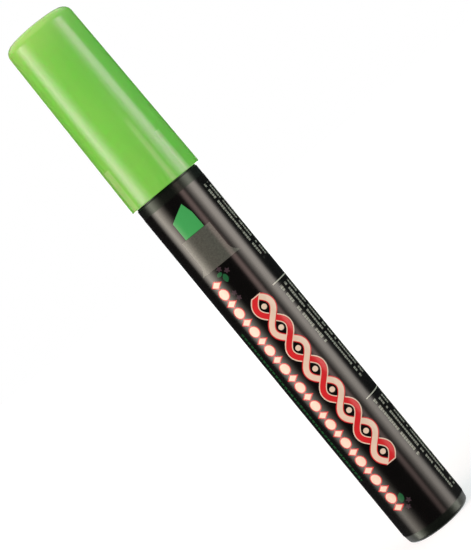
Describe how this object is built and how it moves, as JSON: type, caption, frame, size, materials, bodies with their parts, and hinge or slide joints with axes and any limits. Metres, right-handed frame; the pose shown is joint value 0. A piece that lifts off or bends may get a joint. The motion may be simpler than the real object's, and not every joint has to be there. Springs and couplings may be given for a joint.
{
  "type": "liquid chalk marker",
  "caption": "Capped liquid chalk marker with a black labelled barrel, green push-on cap, slanted chisel nib and a sprung valve that opens when the nib is pressed.",
  "frame": {"origin": "middle of the tail's flat foot", "axes": "+Z along the marker from the tail to the cap, X along the nib's width, the label's picture side towards -Y"},
  "size_m": [0.0186, 0.0186, 0.14],
  "materials": {
    "barrel_plastic": "satin black moulded polypropylene",
    "label_film": "gloss black printed film",
    "collar_plastic": "satin black moulded polypropylene",
    "nib_fibre": "bonded fibre soaked with green ink",
    "absorber_fibre": "pressed fibre",
    "valve_plastic": "natural moulded polyethylene",
    "spring_steel": "drawn stainless wire",
    "ball_steel": "polished stainless ball",
    "cap_plastic": "glossy translucent green moulded polypropylene",
    "liner_plastic": "natural moulded polyethylene"
  },
  "bodies": {
    "barrel": {"barrel": "barrel_plastic", "barrel_label": "label_film", "front_collar": "collar_plastic", "nib_absorber": "absorber_fibre", "valve_seat": "valve_plastic", "valve_cage": "valve_plastic", "valve_spring": "spring_steel"},
    "cap": {"cap_shell": "cap_plastic", "cap_liner": "liner_plastic"},
    "nib": {"nib": "nib_fibre"},
    "valve_stem": {"valve_stem": "valve_plastic"},
    "mixing_ball": {"mixing_ball": "ball_steel"}
  },
  "joints": [
    {"name": "cap_pull", "type": "slide", "parent": "barrel", "child": "cap", "axis": [0, 0, 1], "range_m": [0, 0.06]},
    {"name": "nib_press", "type": "slide", "parent": "barrel", "child": "nib", "axis": [0, 0, -1], "range_m": [0, 0.0014], "stiffness_N_per_m": 800, "deforming": ["valve_spring"]},
    {"name": "valve_open", "type": "slide", "parent": "barrel", "child": "valve_stem", "axis": [0, 0, -1], "range_m": [0, 0.0014]},
    {"name": "ball_roll", "type": "slide", "parent": "barrel", "child": "mixing_ball", "axis": [0, 0, 1], "range_m": [0, 0.073]}
  ],
  "couplings": [
    {"joint": "valve_open", "follows": "nib_press", "ratio": 1}
  ]
}
